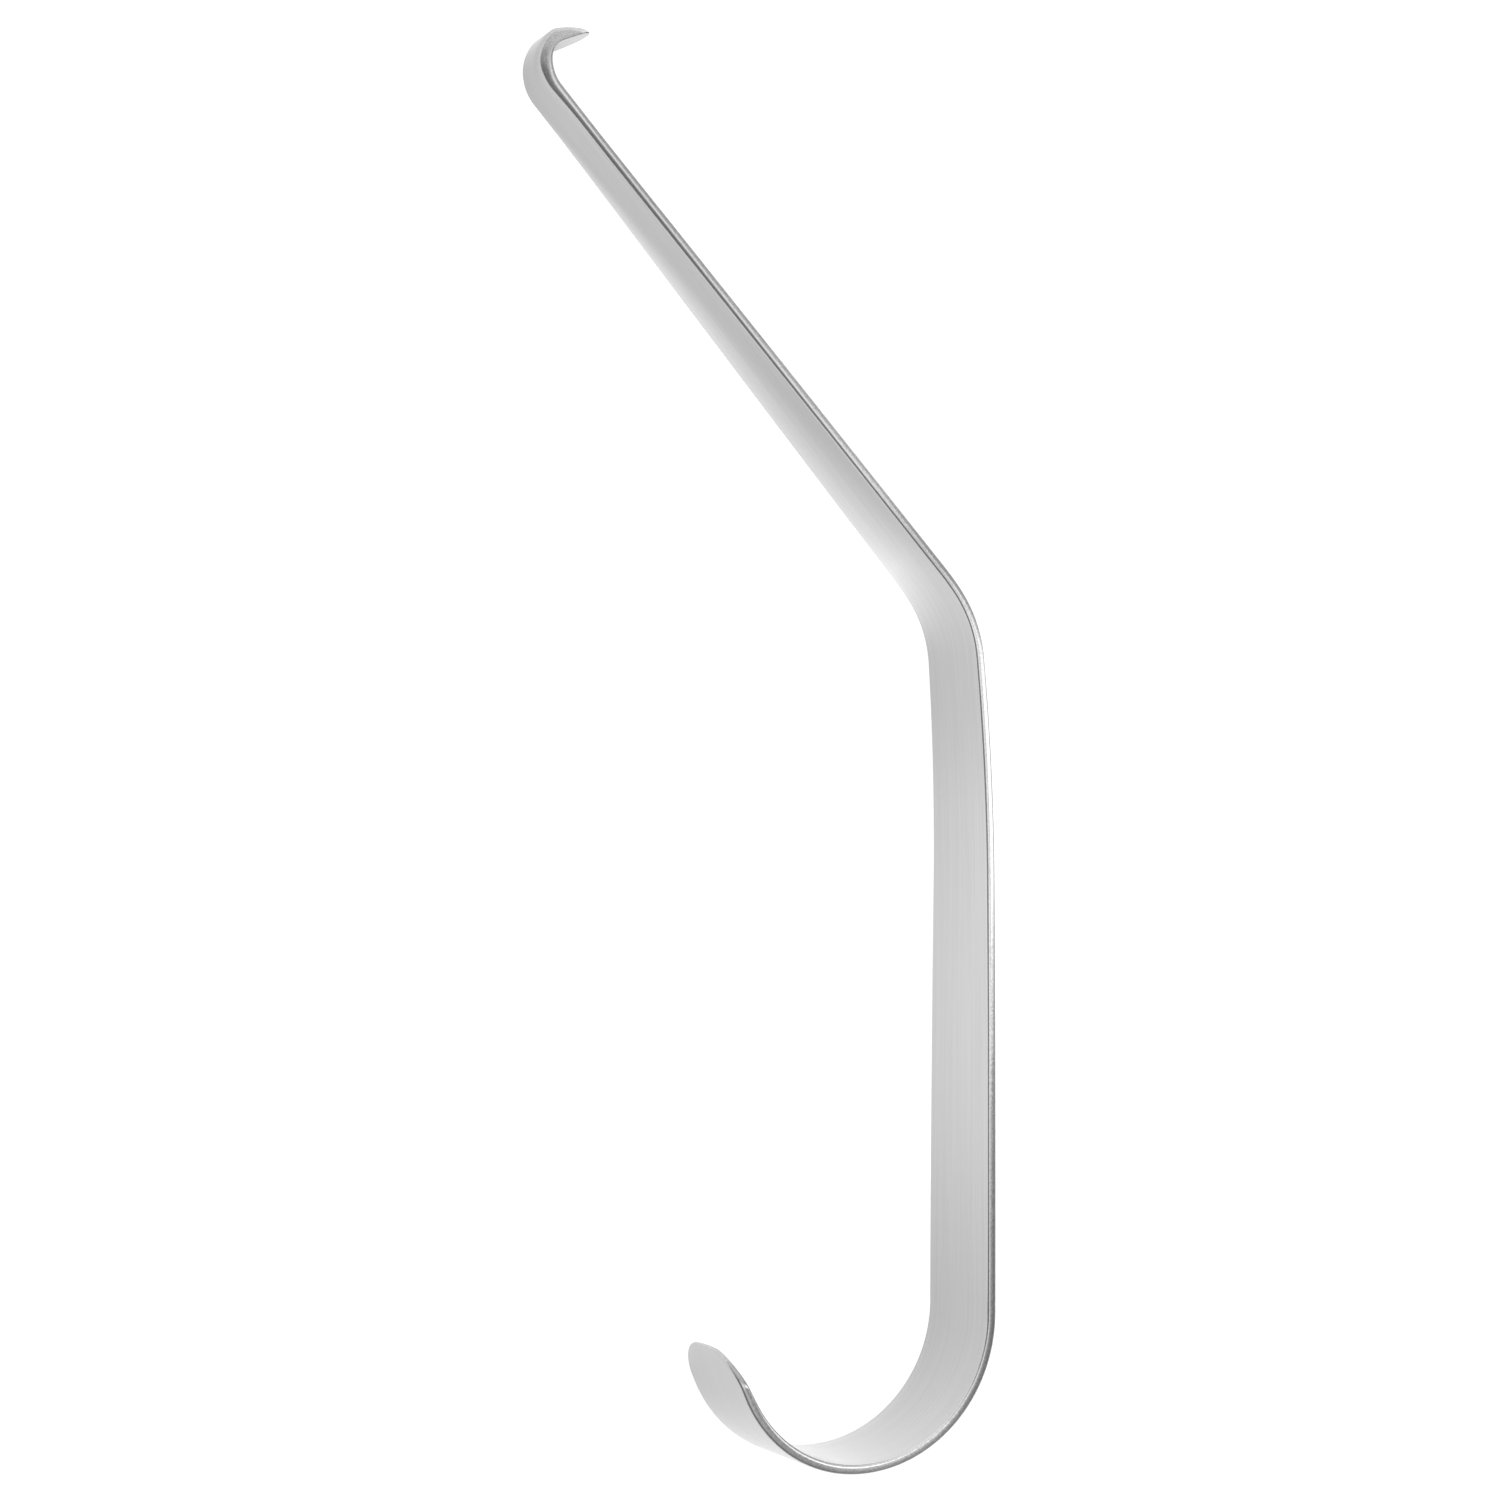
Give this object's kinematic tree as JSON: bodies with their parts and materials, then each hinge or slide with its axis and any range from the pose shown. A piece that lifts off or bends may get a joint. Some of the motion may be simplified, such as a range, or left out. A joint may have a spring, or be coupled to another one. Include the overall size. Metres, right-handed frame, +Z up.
{
  "type": "surgical retractor",
  "caption": "Double-ended handheld retractor bent from one flat steel strip: a broad scooped blade at one end, a straight grip, and a narrow hook turned the other way at the other end.",
  "frame": {"origin": "on the floor below the middle of the box round the strip, which lies on its side edge as it comes to rest", "axes": "+Z up, along the strip's width within about 2 degrees; +Y along the grip, from the broad blade to the narrow hook; +X out of the grip's back face"},
  "size_m": [0.0981, 0.2854, 0.0268],
  "materials": {
    "steel": "satin"
  },
  "bodies": {
    "root": {"retractor": "steel"}
  },
  "joints": []
}
